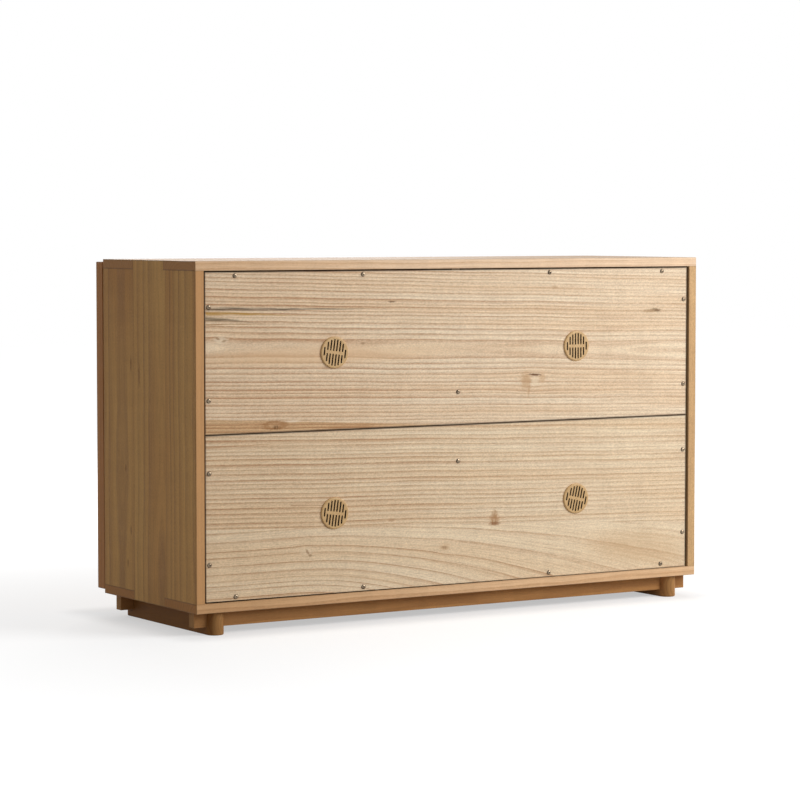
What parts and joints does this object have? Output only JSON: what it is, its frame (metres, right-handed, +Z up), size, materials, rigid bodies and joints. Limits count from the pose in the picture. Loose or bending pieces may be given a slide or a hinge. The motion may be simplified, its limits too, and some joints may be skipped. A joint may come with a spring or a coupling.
{
  "type": "chest of drawers",
  "caption": "Low wide wooden chest of drawers with finger-jointed case, screwed vented back, framed inset drawers on steel slides and a cross-lapped base.",
  "frame": {"origin": "on the floor, under the middle of the whole chest, handles included", "axes": "+Z up; the drawers open towards -Y; +X is the right-hand side as seen from the front"},
  "size_m": [1.2, 0.45, 0.719],
  "materials": {
    "case_wood": "clear matt oil on pale solid wood",
    "front_wood": "clear matt oil on pale solid wood",
    "back_wood": "plain sawn and sanded, level grain",
    "inner_wood": "sanded, unstained",
    "base_wood": "clear matt oil, a little darker",
    "handle_wood": "clear matt oil, worn smooth",
    "vent_tan": "moulded, fine matt",
    "screw_nickel": "nickel plated",
    "slide_steel": "zinc plated"
  },
  "bodies": {
    "carcase": {"top_board": "case_wood", "bottom_board": "case_wood", "left_side": "case_wood", "right_side": "case_wood", "centre_partition": "inner_wood", "upper_back_board": "back_wood", "lower_back_board": "back_wood", "side_cleats": "inner_wood", "cross_cleats": "inner_wood", "back_screws": "screw_nickel", "vent_grilles": "vent_tan", "left_runner": "base_wood", "right_runner": "base_wood", "front_stretcher": "base_wood", "rear_stretcher": "base_wood", "base_screws": "screw_nickel", "left_stile": "front_wood", "right_stile": "front_wood", "centre_stile": "front_wood", "top_rail": "front_wood", "middle_rail": "front_wood", "bottom_rail": "front_wood", "slide_packers": "inner_wood", "case_slide_members": "slide_steel"},
    "lower_left_drawer": {"lower_left_front": "front_wood", "lower_left_left_wall": "inner_wood", "lower_left_right_wall": "inner_wood", "lower_left_rear_wall": "inner_wood", "lower_left_bottom": "inner_wood", "lower_left_handle": "handle_wood", "lower_left_handle_screws": "screw_nickel", "lower_left_slide_members": "slide_steel"},
    "lower_left_slides": {"lower_left_intermediate_members": "slide_steel"},
    "lower_right_drawer": {"lower_right_front": "front_wood", "lower_right_left_wall": "inner_wood", "lower_right_right_wall": "inner_wood", "lower_right_rear_wall": "inner_wood", "lower_right_bottom": "inner_wood", "lower_right_handle": "handle_wood", "lower_right_handle_screws": "screw_nickel", "lower_right_slide_members": "slide_steel"},
    "lower_right_slides": {"lower_right_intermediate_members": "slide_steel"},
    "upper_left_drawer": {"upper_left_front": "front_wood", "upper_left_left_wall": "inner_wood", "upper_left_right_wall": "inner_wood", "upper_left_rear_wall": "inner_wood", "upper_left_bottom": "inner_wood", "upper_left_handle": "handle_wood", "upper_left_handle_screws": "screw_nickel", "upper_left_slide_members": "slide_steel"},
    "upper_left_slides": {"upper_left_intermediate_members": "slide_steel"},
    "upper_right_drawer": {"upper_right_front": "front_wood", "upper_right_left_wall": "inner_wood", "upper_right_right_wall": "inner_wood", "upper_right_rear_wall": "inner_wood", "upper_right_bottom": "inner_wood", "upper_right_handle": "handle_wood", "upper_right_handle_screws": "screw_nickel", "upper_right_slide_members": "slide_steel"},
    "upper_right_slides": {"upper_right_intermediate_members": "slide_steel"}
  },
  "joints": [
    {"name": "lower_left_drawer_slide", "type": "slide", "parent": "carcase", "child": "lower_left_drawer", "axis": [0, -1, 0], "range_m": [0, 0.34]},
    {"name": "lower_left_slides_slide", "type": "slide", "parent": "carcase", "child": "lower_left_slides", "axis": [0, -1, 0], "range_m": [0, 0.17]},
    {"name": "lower_right_drawer_slide", "type": "slide", "parent": "carcase", "child": "lower_right_drawer", "axis": [0, -1, 0], "range_m": [0, 0.34]},
    {"name": "lower_right_slides_slide", "type": "slide", "parent": "carcase", "child": "lower_right_slides", "axis": [0, -1, 0], "range_m": [0, 0.17]},
    {"name": "upper_left_drawer_slide", "type": "slide", "parent": "carcase", "child": "upper_left_drawer", "axis": [0, -1, 0], "range_m": [0, 0.34]},
    {"name": "upper_left_slides_slide", "type": "slide", "parent": "carcase", "child": "upper_left_slides", "axis": [0, -1, 0], "range_m": [0, 0.17]},
    {"name": "upper_right_drawer_slide", "type": "slide", "parent": "carcase", "child": "upper_right_drawer", "axis": [0, -1, 0], "range_m": [0, 0.34]},
    {"name": "upper_right_slides_slide", "type": "slide", "parent": "carcase", "child": "upper_right_slides", "axis": [0, -1, 0], "range_m": [0, 0.17]}
  ],
  "couplings": [
    {"joint": "lower_left_slides_slide", "follows": "lower_left_drawer_slide", "ratio": 0.5},
    {"joint": "lower_right_slides_slide", "follows": "lower_right_drawer_slide", "ratio": 0.5},
    {"joint": "upper_left_slides_slide", "follows": "upper_left_drawer_slide", "ratio": 0.5},
    {"joint": "upper_right_slides_slide", "follows": "upper_right_drawer_slide", "ratio": 0.5}
  ]
}
